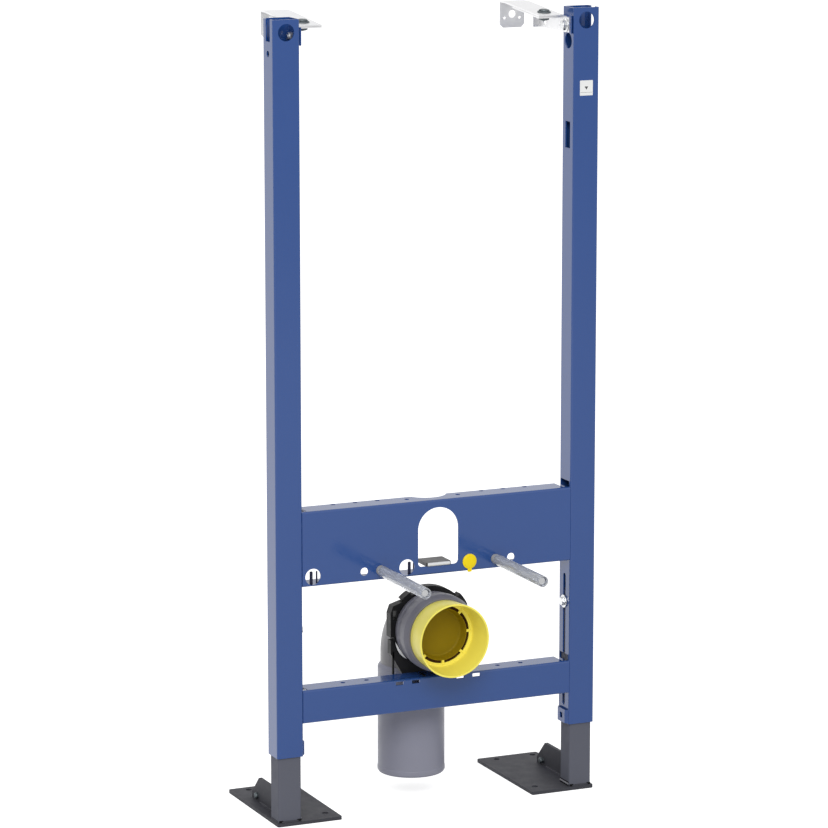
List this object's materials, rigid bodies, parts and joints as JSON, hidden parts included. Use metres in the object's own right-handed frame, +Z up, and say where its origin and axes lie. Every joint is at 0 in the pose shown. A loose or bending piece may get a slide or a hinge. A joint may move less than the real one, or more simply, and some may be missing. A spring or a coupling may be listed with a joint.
{
  "type": "wall-hung toilet frame",
  "caption": "Steel pre-wall frame for a wall-hung toilet: telescoping legs, cross members with fixing studs, drain bend with plug, and adjustable wall brackets.",
  "frame": {"origin": "on the floor, under the middle of the part's outline: X is midway between the posts, Y is midway between the front ends of the studs' sleeves and the foot plates' back edges", "axes": "+Z up, +Y towards the wall behind the frame, +X to the right as one faces the frame; the part is symmetrical about X = 0 in its main form"},
  "size_m": [0.5, 0.3504, 1.148],
  "materials": {
    "blue_powder_coat": "satin powder coat",
    "anthracite_coat": "satin coat",
    "zinc_plate": "bright zinc plate",
    "clear_grey_plastic": "satin translucent plastic",
    "grey_pipe_plastic": "satin moulded plastic",
    "yellow_plastic": "satin moulded plastic",
    "black_plastic": "satin moulded plastic",
    "dark_grey_plastic": "matt moulded plastic"
  },
  "bodies": {
    "frame": {"bend_clip": "black_plastic", "bend_collar": "grey_pipe_plastic", "bend_lower_socket": "grey_pipe_plastic", "clip_foot": "black_plastic", "drain_bend": "grey_pipe_plastic", "drain_plug": "yellow_plastic", "flush_pipe_holder": "dark_grey_plastic", "hole_cover": "yellow_plastic", "left_bracket_bolt": "zinc_plate", "left_bracket_mount": "zinc_plate", "left_post": "blue_powder_coat", "left_post_louvre": "blue_powder_coat", "left_stud": "zinc_plate", "left_stud_nut": "zinc_plate", "left_stud_sleeve": "clear_grey_plastic", "lower_cross_member": "blue_powder_coat", "right_bracket_bolt": "zinc_plate", "right_bracket_mount": "zinc_plate", "right_post": "blue_powder_coat", "right_post_louvre": "blue_powder_coat", "right_stud": "zinc_plate", "right_stud_nut": "zinc_plate", "right_stud_sleeve": "clear_grey_plastic", "upper_cross_member": "blue_powder_coat"},
    "left_leg": {"left_foot_lug": "anthracite_coat", "left_foot_plate": "anthracite_coat", "left_leg": "anthracite_coat", "left_leg_screw": "zinc_plate", "left_lug_bolt": "zinc_plate"},
    "right_leg": {"right_foot_lug": "anthracite_coat", "right_foot_plate": "anthracite_coat", "right_leg": "anthracite_coat", "right_leg_screw": "zinc_plate", "right_lug_bolt": "zinc_plate"},
    "left_bracket": {"left_bracket_clamp_bolt": "zinc_plate", "left_wall_bracket": "zinc_plate"},
    "right_bracket": {"right_bracket_clamp_bolt": "zinc_plate", "right_wall_bracket": "zinc_plate"}
  },
  "joints": [
    {"name": "left_leg_slide", "type": "slide", "parent": "frame", "child": "left_leg", "axis": [0, 0, -1], "range_m": [-0.038, 0.152]},
    {"name": "right_leg_slide", "type": "slide", "parent": "frame", "child": "right_leg", "axis": [0, 0, -1], "range_m": [-0.038, 0.152]},
    {"name": "left_bracket_slide", "type": "slide", "parent": "frame", "child": "left_bracket", "axis": [0, 0.9957, 0.0925], "range_m": [-0.01, 0.05]},
    {"name": "right_bracket_slide", "type": "slide", "parent": "frame", "child": "right_bracket", "axis": [0, 0.9957, 0.0925], "range_m": [-0.01, 0.05]}
  ]
}
